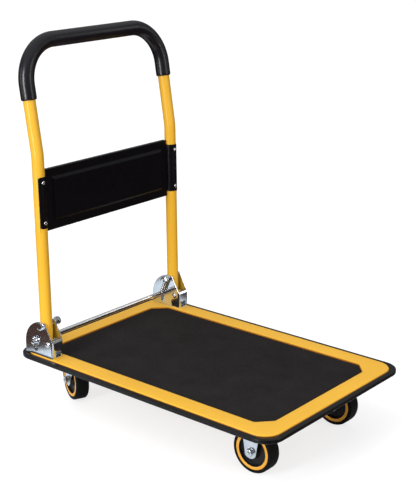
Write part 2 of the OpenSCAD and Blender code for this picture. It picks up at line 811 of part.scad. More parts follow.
at_wheel(-1, 1) hub();  // rear_left_hub
at_wheel(-1, 1) rings();  // rear_left_rings
at_wheel(-1, 1) bush();  // rear_left_bush
at_wheel(-1, -1) tyre();  // rear_right_tyre
at_wheel(-1, -1) hub();  // rear_right_hub
at_wheel(-1, -1) rings();  // rear_right_rings
at_wheel(-1, -1) bush();  // rear_right_bush
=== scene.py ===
"""Folding platform cart: the looks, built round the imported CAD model."""
import itertools
import json
import math

import bmesh
import bpy
from mathutils import Matrix, Vector

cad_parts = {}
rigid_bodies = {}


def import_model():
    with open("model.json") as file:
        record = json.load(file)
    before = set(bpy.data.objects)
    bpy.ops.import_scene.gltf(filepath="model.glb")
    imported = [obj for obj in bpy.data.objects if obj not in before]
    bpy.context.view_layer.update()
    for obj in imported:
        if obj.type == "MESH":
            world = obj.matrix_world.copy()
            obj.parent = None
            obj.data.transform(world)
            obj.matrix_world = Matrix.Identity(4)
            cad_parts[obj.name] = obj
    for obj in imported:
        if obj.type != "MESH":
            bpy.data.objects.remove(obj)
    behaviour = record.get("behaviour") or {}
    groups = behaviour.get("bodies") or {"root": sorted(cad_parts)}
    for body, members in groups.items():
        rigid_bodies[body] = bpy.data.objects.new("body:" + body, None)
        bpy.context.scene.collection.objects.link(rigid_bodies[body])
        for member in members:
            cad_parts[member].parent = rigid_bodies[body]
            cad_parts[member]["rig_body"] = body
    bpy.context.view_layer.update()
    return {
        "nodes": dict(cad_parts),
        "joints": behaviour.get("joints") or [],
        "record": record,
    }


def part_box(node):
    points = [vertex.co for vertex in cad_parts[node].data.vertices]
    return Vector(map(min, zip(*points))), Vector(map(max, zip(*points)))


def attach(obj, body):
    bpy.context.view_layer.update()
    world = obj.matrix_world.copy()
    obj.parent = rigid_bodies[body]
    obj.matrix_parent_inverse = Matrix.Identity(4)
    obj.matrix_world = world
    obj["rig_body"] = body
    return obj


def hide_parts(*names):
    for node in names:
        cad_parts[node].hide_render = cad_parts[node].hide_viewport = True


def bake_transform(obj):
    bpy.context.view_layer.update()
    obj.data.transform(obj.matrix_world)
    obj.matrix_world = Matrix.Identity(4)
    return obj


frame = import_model()
PI = math.pi
MM = 0.001
NODES = frame["nodes"]
JOINTS = {j["name"]: j for j in frame["joints"]}


# ---------- Camera, stage and light ----------

IMAGE_H = 494
FOCAL_PX = 1181.83
EYE = Vector((1.62488, -1.93815, 1.20004))
AIM = Vector((0.24749, -0.28938, 0.52503))
SENSOR_MM = 36
FLOOR_HALF = 40
FLOOR_COLOUR = (0.34, 0.345, 0.355, 1)
FLOOR_ROUGHNESS = 0.9
FLOOR_GLOW = 0.72
# The paper that reflections see: how far it reaches from the cart's middle, and its two colours.
PAPER_REAR = 0.73
PAPER_FRONT = 0.42
PAPER_SIDE = 0.55
PAPER_CORNER = 1.07
PAPER_FADE = 0.02
PAPER_COLOUR = (0.68, 0.74, 0.80, 1)
ROOM_COLOUR = (0.055, 0.032, 0.026, 1)
# The dome's brightness from straight down (0) to straight up (1).
DOME_STOPS = ((0.0, 0.14), (0.25, 0.2), (0.58, 0.28), (0.68, 0.65), (1.0, 0.6))
DOME_BLUE = 1.02
WHITE = (1, 1, 1, 1)
CART = (0, 0, 0)
LOWER_CART = (0, 0, 0.4)
HANDLE_FRAME = (-0.3, 0, 0.6)


def add_camera():
    data = bpy.data.cameras.new("camera")
    data.sensor_width = SENSOR_MM
    data.lens = FOCAL_PX * data.sensor_width / IMAGE_H
    camera = bpy.data.objects.new("camera", data)
    camera.location = EYE
    camera.rotation_euler = (AIM - EYE).to_track_quat("-Z", "Y").to_euler()
    bpy.context.scene.collection.objects.link(camera)
    bpy.context.scene.camera = camera


def add_floor():
    """Plain pale floor. Reflections see paper round the cart and a dark floor past it."""
    bm = bmesh.new()
    bmesh.ops.create_grid(bm, x_segments=4, y_segments=4, size=FLOOR_HALF)
    mesh = bpy.data.meshes.new("floor")
    bm.to_mesh(mesh)
    floor = bpy.data.objects.new("floor", mesh)
    mat = bpy.data.materials.new("floor")
    mat.use_nodes = True
    nodes, links = mat.node_tree.nodes, mat.node_tree.links
    seen = nodes["Principled BSDF"]
    seen.inputs["Base Color"].default_value = FLOOR_COLOUR
    seen.inputs["Roughness"].default_value = FLOOR_ROUGHNESS
    seen.inputs["Specular IOR Level"].default_value = 0.0
    seen.inputs["Emission Color"].default_value = WHITE
    seen.inputs["Emission Strength"].default_value = FLOOR_GLOW
    coord = nodes.new("ShaderNodeTexCoord")
    split = nodes.new("ShaderNodeSeparateXYZ")
    links.new(coord.outputs["Object"], split.inputs[0])

    def maths(operation, first, second=0.0):
        node = nodes.new("ShaderNodeMath")
        node.operation = operation
        for socket, value in zip(node.inputs, (first, second)):
            if isinstance(value, float):
                socket.default_value = value
            else:
                links.new(value, socket)
        return node.outputs[0]

    x, y = split.outputs["X"], maths("ABSOLUTE", split.outputs["Y"])
    past_rear = maths("SUBTRACT", maths("MULTIPLY", x, -1.0), PAPER_REAR)
    past_end = maths("MAXIMUM", past_rear, maths("SUBTRACT", x, PAPER_FRONT))
    past_corner = maths("SUBTRACT", maths("ADD", maths("ABSOLUTE", x), y), PAPER_CORNER)
    past_side = maths("MAXIMUM", past_corner, maths("SUBTRACT", y, PAPER_SIDE))
    far = maths("MAXIMUM", past_end, past_side)
    ramp = nodes.new("ShaderNodeMapRange")
    ramp.inputs["From Min"].default_value = -PAPER_FADE
    ramp.inputs["From Max"].default_value = PAPER_FADE
    links.new(far, ramp.inputs["Value"])
    tint = nodes.new("ShaderNodeMix")
    tint.data_type = "RGBA"
    tint.inputs["A"].default_value = PAPER_COLOUR
    tint.inputs["B"].default_value = ROOM_COLOUR
    links.new(ramp.outputs["Result"], tint.inputs["Factor"])
    room = nodes.new("ShaderNodeBsdfDiffuse")
    links.new(tint.outputs["Result"], room.inputs["Color"])
    sight = nodes.new("ShaderNodeLightPath")
    mix = nodes.new("ShaderNodeMixShader")
    links.new(sight.outputs["Is Camera Ray"], mix.inputs[0])
    links.new(room.outputs[0], mix.inputs[1])
    links.new(seen.outputs[0], mix.inputs[2])
    links.new(mix.outputs[0], nodes["Material Output"].inputs["Surface"])
    mesh.materials.append(mat)
    bpy.context.scene.collection.objects.link(floor)


def add_light(kind, name, where, aim, power, glossy=True, diffuse=True, colour=(1, 1, 1),
              **settings):
    """A lamp that the camera doesn't see; glossy and diffuse say which surfaces it lights."""
    data = bpy.data.lights.new(name, kind)
    data.energy = power
    data.color = colour
    for key, value in settings.items():
        setattr(data, key, value)
    light = bpy.data.objects.new(name, data)
    light.location = where
    light.rotation_euler = (Vector(aim) - Vector(where)).to_track_quat("-Z", "Y").to_euler()
    light.visible_camera = False
    light.visible_glossy = glossy
    light.visible_diffuse = diffuse
    bpy.context.scene.collection.objects.link(light)


def add_world():
    """A studio dome: dim low down, bright overhead, and plain white where the camera sees it."""
    world = bpy.data.worlds.new("studio")
    world.use_nodes = True
    bpy.context.scene.world = world
    nodes, links = world.node_tree.nodes, world.node_tree.links
    shade = nodes["Background"]
    shade.inputs["Strength"].default_value = 1.0
    coord = nodes.new("ShaderNodeTexCoord")
    split = nodes.new("ShaderNodeSeparateXYZ")
    ramp = nodes.new("ShaderNodeValToRGB")
    links.new(coord.outputs["Generated"], split.inputs[0])
    links.new(split.outputs["Z"], ramp.inputs[0])
    while len(ramp.color_ramp.elements) < len(DOME_STOPS):
        ramp.color_ramp.elements.new(0.5)
    for element, (at, level) in zip(ramp.color_ramp.elements, DOME_STOPS):
        element.position = at
        element.color = (level, level, level * DOME_BLUE, 1)
    sight = nodes.new("ShaderNodeLightPath")
    mix = nodes.new("ShaderNodeMix")
    mix.data_type = "RGBA"
    links.new(sight.outputs["Is Camera Ray"], mix.inputs["Factor"])
    links.new(ramp.outputs["Color"], mix.inputs["A"])
    mix.inputs["B"].default_value = WHITE
    links.new(mix.outputs["Result"], shade.inputs["Color"])


add_camera()
add_floor()
add_world()
add_light("SUN", "key", (-1.2, -2.0, 3.6), CART, 1.05, glossy=False, angle=math.radians(50))
add_light("SUN", "fill", (2.6, -1.2, 1.1), CART, 1.5, glossy=False, angle=math.radians(60))
add_light("SUN", "back", (-2.6, 1.4, 1.6), CART, 0.8, glossy=False, angle=math.radians(60))
add_light("AREA", "window", (-0.1, -2.7, 1.05), HANDLE_FRAME, 65,
          shape="RECTANGLE", size=0.5, size_y=2.0)
add_light("AREA", "rim", (2.6, 0.8, 1.0), HANDLE_FRAME, 14, colour=(1, 0.95, 0.9),
          shape="RECTANGLE", size=0.35, size_y=1.8)
add_light("AREA", "strip_left", (-2.3, -2.6, 1.0), LOWER_CART, 10, diffuse=False,
          shape="RECTANGLE", size=0.3, size_y=2.0)
add_light("AREA", "strip_right", (1.7, 2.4, 1.5), LOWER_CART, 3, diffuse=False,
          shape="RECTANGLE", size=0.3, size_y=1.2)
bpy.context.scene.view_settings.view_transform = "Standard"


# ---------- Materials ----------

COAT_ROUGHNESS = 0.08
# Radius over which the shader finds rounded corners for the corner tint.
CORNER_TINT_RADIUS = 0.0008
BEVEL_SAMPLES = 4
# A rounded corner takes the corner tint where its softened normal leans from the true one: none at
# the first cosine.
CORNER_TINT_COSINES = (0.99, 0.86)
# Height of the unit normal at which a rolled edge has its full painted shade, and at which it has
# none.
ROLLED_EDGE_SHADE = (0.3, 0.85)


def mix_colour(nodes, links, factor, a, b):
    mix = nodes.new("ShaderNodeMix")
    mix.data_type = "RGBA"
    links.new(factor, mix.inputs["Factor"])
    for key, value in (("A", a), ("B", b)):
        if isinstance(value, tuple):
            mix.inputs[key].default_value = (*value, 1)
        else:
            links.new(value, mix.inputs[key])
    return mix.outputs["Result"]


def noise(nodes, links, coord, scale, detail, roughness, stretch=None):
    """Grey noise at a scale per metre, drawn out along an axis where stretch is below 1."""
    if stretch:
        mapping = nodes.new("ShaderNodeMapping")
        mapping.inputs["Scale"].default_value = stretch
        links.new(coord, mapping.inputs["Vector"])
        coord = mapping.outputs["Vector"]
    tex = nodes.new("ShaderNodeTexNoise")
    tex.inputs["Scale"].default_value = scale
    tex.inputs["Detail"].default_value = detail
    tex.inputs["Roughness"].default_value = roughness
    links.new(coord, tex.inputs["Vector"])
    return tex.outputs["Fac"]


def spread(nodes, links, value, low, high, to_low=0.0, to_high=1.0):
    """The value with its range low to high moved to another, and held at the ends."""
    node = nodes.new("ShaderNodeMapRange")
    node.inputs["From Min"].default_value = low
    node.inputs["From Max"].default_value = high
    node.inputs["To Min"].default_value = to_low
    node.inputs["To Max"].default_value = to_high
    links.new(value, node.inputs["Value"])
    return node.outputs["Result"]


def surface(name, light, dark, rough, cloud, grain, relief, metal=0.0, specular=0.5, coat=0.0,
            stretch=None, fleck=None, edge=None, corner_tint=None):
    """A material with mottled colour, uneven roughness and a fine grained surface.
    light and dark are its two colours and rough its range of roughness; cloud and grain are
    noise scales per metre, relief is the grain's height in metres, stretch draws the grain out,
    fleck (colour, scale, share) adds small specks, edge is painted shade, a colour laid on faces
    that lean away from up, and corner_tint is a colour laid in patches on rounded corners,
    which some materials use for painted shade and some for a painted highlight."""
    mat = bpy.data.materials.new(name)
    mat.use_nodes = True
    nodes, links = mat.node_tree.nodes, mat.node_tree.links
    bsdf = nodes["Principled BSDF"]
    bsdf.inputs["Metallic"].default_value = metal
    bsdf.inputs["Specular IOR Level"].default_value = specular
    bsdf.inputs["Coat Weight"].default_value = coat
    bsdf.inputs["Coat Roughness"].default_value = COAT_ROUGHNESS
    coord = nodes.new("ShaderNodeTexCoord").outputs["Object"]
    mottle = spread(nodes, links, noise(nodes, links, coord, cloud, 4, 0.6), 0.3, 0.7)
    colour = mix_colour(nodes, links, mottle, dark, light)
    if fleck:
        tint, scale, share = fleck
        specks = spread(nodes, links, noise(nodes, links, coord, scale, 2, 0.5),
                        1 - share, 1 - share * 0.7)
        colour = mix_colour(nodes, links, specks, colour, tint)
    # Painted shade: faces that lean away from up take the darker edge colour.
    if edge:
        split = nodes.new("ShaderNodeSeparateXYZ")
        links.new(nodes.new("ShaderNodeTexCoord").outputs["Normal"], split.inputs[0])
        flat = spread(nodes, links, split.outputs["Z"], *ROLLED_EDGE_SHADE)
        colour = mix_colour(nodes, links, flat, edge, colour)
    patch_noise = noise(nodes, links, coord, cloud * 9, 5, 0.65, stretch)
    # Corner tint laid in patches on rounded corners: painted shade on the yellow paint, a painted
    # highlight on the black panel, and lighter zinc and rubber on the rest.
    if corner_tint:
        round_edge = nodes.new("ShaderNodeBevel")
        round_edge.samples = BEVEL_SAMPLES
        round_edge.inputs["Radius"].default_value = CORNER_TINT_RADIUS
        corner = nodes.new("ShaderNodeVectorMath")
        corner.operation = "DOT_PRODUCT"
        links.new(round_edge.outputs["Normal"], corner.inputs[0])
        links.new(nodes.new("ShaderNodeNewGeometry").outputs["Normal"], corner.inputs[1])
        tinted_corner = nodes.new("ShaderNodeMath")
        tinted_corner.operation = "MULTIPLY"
        leaning = spread(nodes, links, corner.outputs["Value"], *CORNER_TINT_COSINES)
        links.new(leaning, tinted_corner.inputs[0])
        links.new(spread(nodes, links, patch_noise, 0.35, 0.6), tinted_corner.inputs[1])
        colour = mix_colour(nodes, links, tinted_corner.outputs[0], colour, corner_tint)
    links.new(colour, bsdf.inputs["Base Color"])
    links.new(spread(nodes, links, patch_noise, 0.3, 0.7, *rough), bsdf.inputs["Roughness"])
    bump = nodes.new("ShaderNodeBump")
    bump.inputs["Distance"].default_value = relief
    bump.inputs["Strength"].default_value = 1.0
    links.new(noise(nodes, links, coord, grain, 2, 0.5, stretch), bump.inputs["Height"])
    links.new(bump.outputs["Normal"], bsdf.inputs["Normal"])
    return mat


# The third yellow is painted shade: a darker orange laid in patches on rounded corners.
YELLOW, YELLOW_DARK, YELLOW_CORNER_SHADE = (0.77, 0.425, 0.034), (0.73, 0.39, 0.028), (0.62, 0.30, 0.02)

# One for each material slot of the record, and the pan's own yellow, whose rolled edge has painted
# shade: a darker orange where the sheet leans away from up.
MATERIALS = {
    "yellow_paint": surface("powder_coat", YELLOW, YELLOW_DARK, (0.3, 0.42), 5, 700, 0.000015,
                            specular=0.25, coat=0.1, corner_tint=YELLOW_CORNER_SHADE),
    # The pan's rolled edge takes painted shade, the dark orange edge colour.
    "pan_paint_shaded_edge": surface("pan_powder_coat_shaded_edge", YELLOW, YELLOW_DARK, (0.3, 0.42), 5, 700, 0.00002,
                         specular=0.25, coat=0.1, edge=(0.36, 0.13, 0.010), corner_tint=YELLOW_CORNER_SHADE),
    "deck_mat": surface("mat_rubber", (0.017, 0.0155, 0.0155), (0.012, 0.011, 0.011),
                        (0.7, 0.9), 14, 1300, 0.0003,
                        specular=0.05, fleck=((0.035, 0.033, 0.033), 1500, 0.42)),
    "bumper_rubber": surface("bumper_rubber", (0.005, 0.005, 0.0055), (0.003, 0.003, 0.0035),
                             (0.28, 0.36), 12, 1600, 0.000006,
                             specular=0.3, corner_tint=(0.03, 0.03, 0.032)),
    "grip_rubber": surface("grip_rubber", (0.006, 0.006, 0.009), (0.004, 0.004, 0.006),
                           (0.26, 0.33), 10, 1500, 0.000003, specular=0.45),
    # The panel's rounded corners take a painted highlight: a lighter grey laid in patches.
    "panel_black": surface("panel_paint", (0.003, 0.003, 0.004), (0.002, 0.002, 0.003),
                           (0.26, 0.34), 8, 900, 0.00001,
                           specular=0.15, corner_tint=(0.05, 0.05, 0.055)),
    "zinc": surface("zinc_plate", (0.80, 0.84, 0.88), (0.64, 0.69, 0.73),
                    (0.05, 0.16), 22, 500, 0.000002, metal=1.0, corner_tint=(0.95, 0.96, 0.97)),
    "chrome": surface("chrome", (0.88, 0.89, 0.91), (0.80, 0.81, 0.84),
                      (0.05, 0.14), 10, 800, 0.000006, metal=1.0, stretch=(1, 0.04, 1)),
    "tyre": surface("tyre_rubber", (0.005, 0.005, 0.005), (0.003, 0.003, 0.003),
                    (0.5, 0.7), 18, 1400, 0.00003,
                    specular=0.08, fleck=((0.012, 0.012, 0.011), 900, 0.36)),
    "hub_plastic": surface("hub_plastic", (0.004, 0.004, 0.0045), (0.003, 0.003, 0.003),
                           (0.35, 0.5), 20, 1800, 0.00001, specular=0.3),
    "ring_yellow": surface("ring_plastic", (0.78, 0.38, 0.035), (0.68, 0.31, 0.025),
                           (0.3, 0.45), 25, 1200, 0.00001, specular=0.45),
}


# ---------- Mesh building, in millimetres ----------

UP, DOWN, FORWARD = Vector((0, 0, 1)), Vector((0, 0, -1)), Vector((1, 0, 0))
QUARTER = PI / 2
TINY = 1e-6
# Welding distance in metres, and degrees under which a CAD mesh's neighbouring faces are one.
SAME_POINT = 2e-6
FLAT_WITHIN = 0.6
FACE_WEIGHT = 80
# Steps round each corner of the deck's loops.
LOOP_STEPS = 12


def axis_matrix(origin, direction):
    """Placement whose z runs along direction and whose x leans upwards."""
    z = Vector(direction).normalized()
    y = z.cross(UP)
    y = y.normalized() if y.length > TINY else Vector((0, 1, 0))
    x = y.cross(z)
    rot = Matrix((x, y, z)).transposed().to_4x4()
    return Matrix.Translation(Vector(origin)) @ rot


class Build:
    """Collects vertices and faces of one piece."""

    def __init__(self):
        self.verts, self.faces = [], []

    def rings(self, loops, wrap=False, caps=True):
        """Joins loops of equal length into a tube; wrap joins the last to the first."""
        n, base = len(loops[0]), len(self.verts)
        for loop in loops:
            self.verts += [Vector(p) for p in loop]
        count = len(loops)
        for k in range(count if wrap else count - 1):
            a, b = base + k * n, base + (k + 1) % count * n
            self.faces += [(a + i, a + (i + 1) % n, b + (i + 1) % n, b + i) for i in range(n)]
        if caps and not wrap:
            self.faces.append(tuple(base + i for i in reversed(range(n))))
            self.faces.append(tuple(base + (count - 1) * n + i for i in range(n)))
        return self

    def lathe(self, profile, place, n, wrap=False):
        """Turns (radius, height) points round the placement's z."""
        loops = [[place @ Vector((r * math.cos(2 * PI * i / n), r * math.sin(2 * PI * i / n), h))
                  for i in range(n)] for r, h in profile]
        return self.rings(loops, wrap)

    def sweep(self, path, radii, n, alongs=None, side=None):
        """Tube along a path; radii is one number or one for each point, alongs the directions
        that its rings face, and side the direction of the first ring's first point."""
        if not isinstance(radii, list):
            radii = [radii] * len(path)
        if alongs is None:
            ends = [path[0]] + path + [path[-1]]
            alongs = [(after - before).normalized() for before, after in zip(ends, ends[2:])]
        if side is None:
            side = alongs[0].orthogonal()
        loops = []
        for p, r, along in zip(path, radii, alongs):
            side = (side - side.dot(along) * along).normalized()
            out = along.cross(side)
            loops.append([p + r * (math.cos(2 * PI * i / n) * side + math.sin(2 * PI * i / n) * out)
                          for i in range(n)])
        return self.rings(loops)

    def piece(self, name, body, slot, replaces=(), sharp=35):
        """Makes the object, in metres, and dresses it."""
        mesh = bpy.data.meshes.new(name)
        mesh.from_pydata([v * MM for v in self.verts], [], self.faces)
        obj = bpy.data.objects.new(name, mesh)
        bpy.context.scene.collection.objects.link(obj)
        return dress(obj, body, slot, replaces, sharp)


def dress(obj, body, slot, replaces=(), sharp=35):
    """Shades a new piece, with edges over sharp degrees left hard, gives it its material and
    puts it on its body."""
    mesh = obj.data
    bm = bmesh.new()
    bm.from_mesh(mesh)
    bmesh.ops.recalc_face_normals(bm, faces=bm.faces)
    limit = math.radians(sharp)
    for face in bm.faces:
        face.smooth = True
    for edge in bm.edges:
        edge.smooth = not (len(edge.link_faces) == 2 and edge.calc_face_angle() > limit)
    bm.to_mesh(mesh)
    bm.free()
    mesh.materials.clear()
    mesh.materials.append(MATERIALS[slot])
    if body:
        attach(obj, body)
    if replaces:
        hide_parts(*replaces)
    return obj


def softened(node, slot, width=0.4, angle=25):
    """Copy of a CAD node that stands for it, with edges over angle degrees rounded to width."""
    source = NODES[node]
    bm = bmesh.new()
    bm.from_mesh(source.data)
    bmesh.ops.remove_doubles(bm, verts=bm.verts, dist=SAME_POINT)
    bmesh.ops.dissolve_limit(bm, angle_limit=math.radians(FLAT_WITHIN),
                             verts=bm.verts, edges=bm.edges)
    limit = math.radians(angle)
    edges = [e for e in bm.edges if len(e.link_faces) == 2 and e.calc_face_angle() > limit]
    bmesh.ops.bevel(bm, geom=edges, offset=width * MM, offset_type="OFFSET", segments=2,
                    profile=0.5, affect="EDGES", clamp_overlap=False, loop_slide=True)
    mesh = bpy.data.meshes.new(node + "_soft")
    bm.to_mesh(mesh)
    bm.free()
    obj = bpy.data.objects.new(node + "_soft", mesh)
    bpy.context.scene.collection.objects.link(obj)
    dress(obj, source["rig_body"], slot, (node,), 40)
    keep = obj.modifiers.new("even_normals", "WEIGHTED_NORMAL")
    keep.keep_sharp = True
    keep.weight = FACE_WEIGHT
    return obj


def box(node):
    """A CAD node's lowest and highest corners, in millimetres."""
    low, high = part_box(node)
    return low / MM, high / MM


def quarter_turn(steps, first=0):
    """Angles from 0 to a right angle in so many steps, from the given step on."""
    return [QUARTER * i / steps for i in range(first, steps + 1)]


def rim_loop(hx, hy, r, z):
    """Loop of points round a rounded rectangle of half sizes hx and hy."""
    loop = []
    for k, (sx, sy) in enumerate([(1, 1), (-1, 1), (-1, -1), (1, -1)]):
        for i in range(LOOP_STEPS + 1):
            t = QUARTER * (k + i / LOOP_STEPS)
            loop.append((sx * (hx - r) + r * math.cos(t), sy * (hy - r) + r * math.sin(t), z))
    return loop


def cut_grown(c, other, e):
    """Length of a corner cut along one side, once the whole outline has moved out by e."""
    return c + e * (1 + c / other - c * math.hypot(1 / c, 1 / other))


def cut_loop(hx, hy, cx, cy, z, e):
    """Loop round a rectangle with cut corners, moved out by e, with as many points as
    rim_loop, so that the two can be joined."""
    half_steps = LOOP_STEPS // 2
    hx, hy, cx, cy = hx + e, hy + e, cut_grown(cx, cy, e), cut_grown(cy, cx, e)
    loop = []
    for sx, sy, first in ((1, 1, 0), (-1, 1, 1), (-1, -1, 0), (1, -1, 1)):
        a, b = Vector((sx * hx, sy * (hy - cy), z)), Vector((sx * (hx - cx), sy * hy, z))
        along_x, along_y = Vector((0, sy * hy, z)), Vector((sx * hx, 0, z))
        cut = []
        for corner, before, after, steps in ((a, along_y, b, half_steps),
                                             (b, a, along_x, half_steps - 1)):
            u = (before - corner).normalized() * CUT_FILLET
            v = (after - corner).normalized() * CUT_FILLET
            for i in range(steps + 1):
                t = i / steps
                cut.append(corner + u * (1 - t) ** 2 + v * t ** 2)
        loop += cut[::-1] if first else cut
    return loop


def fillet_path(points, radii):
    """Polyline through the corner points with each inner corner rounded to its radius."""
    path = [Vector(points[0])]
    for k in range(1, len(points) - 1):
        p, a, b = Vector(points[k]), Vector(points[k - 1]), Vector(points[k + 1])
        u, v = (a - p).normalized(), (b - p).normalized()
        turn = PI - u.angle(v)
        reach = radii[k] * math.tan(turn / 2)
        centre = p + (u + v).normalized() * radii[k] / math.cos(turn / 2)
        first, last = p + u * reach - centre, p + v * reach - centre
        count = max(3, int(abs(turn) * radii[k] / BEND_STEP))
        for i in range(count + 1):
            t = i / count
            w = (math.sin((1 - t) * turn) * first + math.sin(t * turn) * last) / math.sin(turn)
            path.append(centre + w)
    path.append(Vector(points[-1]))
    return path


def resampled(path, step):
    """The same path with points no further than step apart."""
    out = [path[0]]
    for a, b in zip(path, path[1:]):
        count = max(1, math.ceil((b - a).length / step))
        out += [a + (b - a) * i / count for i in range(1, count + 1)]
    return out


def hexagon(build, flats, z0, z1, place, chamfer_low=False):
    """Bolt head or nut with its corners turned off."""
    n, apothem = 48, flats / 2
    turned_from, slope, face = apothem * 0.99, 0.6, apothem * 0.94

    def loop(z, kind):
        points = []
        for i in range(n):
            t = 2 * PI * i / n
            reach = apothem / math.cos((t + PI / 6) % (PI / 3) - PI / 6)
            drop = max(0.0, reach - turned_from) * slope if kind == "turned" else 0.0
            r = face if kind == "face" else reach
            points.append(place @ Vector((r * math.cos(t), r * math.sin(t),
                                          z - drop if z == z1 else z + drop)))
        return points

    low = [loop(z0, "face"), loop(z0, "turned")] if chamfer_low else [loop(z0, "plain")]
    build.rings(low + [loop(z1, "turned"), loop(z1, "face")])


def thread(build, d, z0, z1, place, shank=0.0):
    """Threaded end: fine rings with a chamfered tip at z1, after a plain shank of that length."""
    pitch, depth, chamfer, edge = 1.25, 0.55, 0.9, d / 2
    profile, z = [(edge, z0 - shank)] * (shank > 0) + [(edge, z0)], z0
    while z + pitch < z1 - 1:
        profile += [(edge, z + pitch * 0.15), (edge - depth, z + pitch * 0.5),
                    (edge, z + pitch * 0.85)]
        z += pitch
    profile += [(edge, z1 - chamfer), (edge - chamfer, z1)]
    build.lathe(profile, place, 32)


# ---------- Sizes that the CAD model has, in millimetres ----------

# Deck: outline and corner radii, sheet, mat, and the cuts at the mat's corners.
DECK_LOW, DECK_HIGH = box("deck_pan")
MAT_LOW, MAT_HIGH = box("deck_mat")
BUMPER_LOW, BUMPER_HIGH = box("deck_bumper")
DECK_X, DECK_Y, DECK_TOP = DECK_HIGH
DECK_R, EDGE_R, RECESS_R, BUMPER_R, SHEET = 42.0, 4.0, 1.4, 44.0, 2.0
MAT_GAP, MAT_EDGE = 0.4, 1.0
RECESS_X, RECESS_Y = MAT_HIGH.x + MAT_GAP, MAT_HIGH.y + MAT_GAP
CUT, CUT_FILLET = (30.0, 32.0), 5.0
FLOOR_Z = MAT_LOW.z

# Handle: tube and grip, lengths below and above the bend, bend radii, heel, and two leans.
PIVOT = Vector(JOINTS["handle_fold"]["pos_m"]) / MM
TUBE_D, TUBE_T, GRIP_D = 28.0, 1.5, 35.5
LEG, UPPER, HEEL, GRIP_L = 398.0, 246.5, 38.55, 124.0
CORNER, BEND_R, BEND_STEP = 92.0, 150, 4.0
STAND, LEAN = math.radians(0.75), math.radians(8.3)
HANDLE_Y = box("handle_grip")[1].y - GRIP_D / 2
PANEL_Z, PANEL_H, SCREW_IN = 231.5, 119, 13
SCREW_Z = (PANEL_Z + SCREW_IN, PANEL_Z + PANEL_H - SCREW_IN)
SCREW_SEAT = TUBE_D / 2 + 1.3

# Hinges and lock: half width over a bracket, lock bar, bolts, springs and stop.
BRACKET_HALF, BRACKET_T = TUBE_D / 2 + 3.5, 3
BAR_LOW, BAR_HIGH = box("lock_bar")
BAR = Vector(((BAR_LOW.x + BAR_HIGH.x) / 2, 0, (BAR_LOW.z + BAR_HIGH.z) / 2))
BAR_D, PIVOT_D, BOLT_D, AXLE_D = 10.0, 10.0, 8.0, 10.0
BASE_BOLTS, BASE_BOLT_L = (21.0, -38.5), 13.4
STOP_X = TUBE_D / 2 + 6
SPRING_D, WIRE, SPRING_GAP = 10.0, 1.6, 1.5
SPRING_Y = BRACKET_HALF + SPRING_D / 2 + SPRING_GAP
# Width over flats, bolt head and nut height, as shares of the bolt's diameter.
HEX_FLATS, HEAD_HEIGHT, NUT_HEIGHT = 1.6, 0.66, 0.8

# Casters: wheel, tyre and ring, half width over a fork, plate and its studs.
WHEEL_R, TYRE_HALF, TYRE_T, BAND, MOULD_LINE = 50.0, 16.0, 8.0, 7.0, 0.25
FORK_OUT = 21.0
PLATE_T, STUD_X, STUD_Y = 2.5, 37.0, 29.0


# ---------- Deck ----------

def deck_rim(inset, z):
    """Loop round the pan's outline, moved in by inset; the corners keep their centres."""
    return rim_loop(DECK_X - inset, DECK_Y - inset, DECK_R - inset, z)


def recess_loop(z, e):
    """Loop round the mat's recess, moved out by e."""
    return cut_loop(RECESS_X, RECESS_Y, *CUT, z, e)


def bumper_rim(inset, z):
    """Loop round the bumper's outline, moved in by inset."""
    return rim_loop(BUMPER_HIGH.x - inset, BUMPER_HIGH.y - inset, BUMPER_R - inset, z)


def sheet_side(build, loops):
    """One side of the sheet: its loops from the skirt inwards, and the floor that closes them."""
    build.rings(loops, caps=False)
    top = len(build.verts)
    build.faces.append(tuple(range(top - len(loops[0]), top)))


def deck_pan():
    """Pressed pan: rolled outer edge, flat border, recess and skirt, as one sheet."""
    skirt_z, inner_r = DECK_LOW.z, DECK_R - SHEET
    brim, rounding, corner = 0.5, 0.4, 2
    inner_x, inner_y = DECK_X - SHEET, DECK_Y - SHEET
    outside = [rim_loop(inner_x, inner_y, inner_r, skirt_z + rounding),
               rim_loop(inner_x + rounding, inner_y + rounding, inner_r, skirt_z),
               rim_loop(DECK_X - brim, DECK_Y - brim, DECK_R, skirt_z),
               rim_loop(DECK_X, DECK_Y, DECK_R, skirt_z + brim)]
    outside += [deck_rim(EDGE_R * (1 - math.cos(t)), DECK_TOP - EDGE_R + EDGE_R * math.sin(t))
                for t in quarter_turn(8)]
    outside += [recess_loop(DECK_TOP - RECESS_R * (1 - math.cos(t)), RECESS_R * (1 - math.sin(t)))
                for t in quarter_turn(5)]
    outside.append(recess_loop(FLOOR_Z, 0))
    inside = [outside[0],
              rim_loop(inner_x, inner_y, inner_r, DECK_TOP - SHEET - corner),
              rim_loop(inner_x - corner, inner_y - corner, inner_r - corner, DECK_TOP - SHEET),
              recess_loop(DECK_TOP - SHEET, SHEET),
              recess_loop(FLOOR_Z - SHEET, SHEET)]
    build = Build()
    sheet_side(build, outside)
    sheet_side(build, inside)
    obj = build.piece("deck_pressing", "deck", "yellow_paint", ("deck_pan",), 50)
    # The pressing takes the yellow whose rolled edge has painted shade.
    obj.data.materials[0] = MATERIALS["pan_paint_shaded_edge"]
    weld(obj)


def weld(obj):
    """Joins points that lie on each other."""
    bm = bmesh.new()
    bm.from_mesh(obj.data)
    bmesh.ops.remove_doubles(bm, verts=bm.verts, dist=TINY)
    bmesh.ops.recalc_face_normals(bm, faces=bm.faces)
    bm.to_mesh(obj.data)
    bm.free()


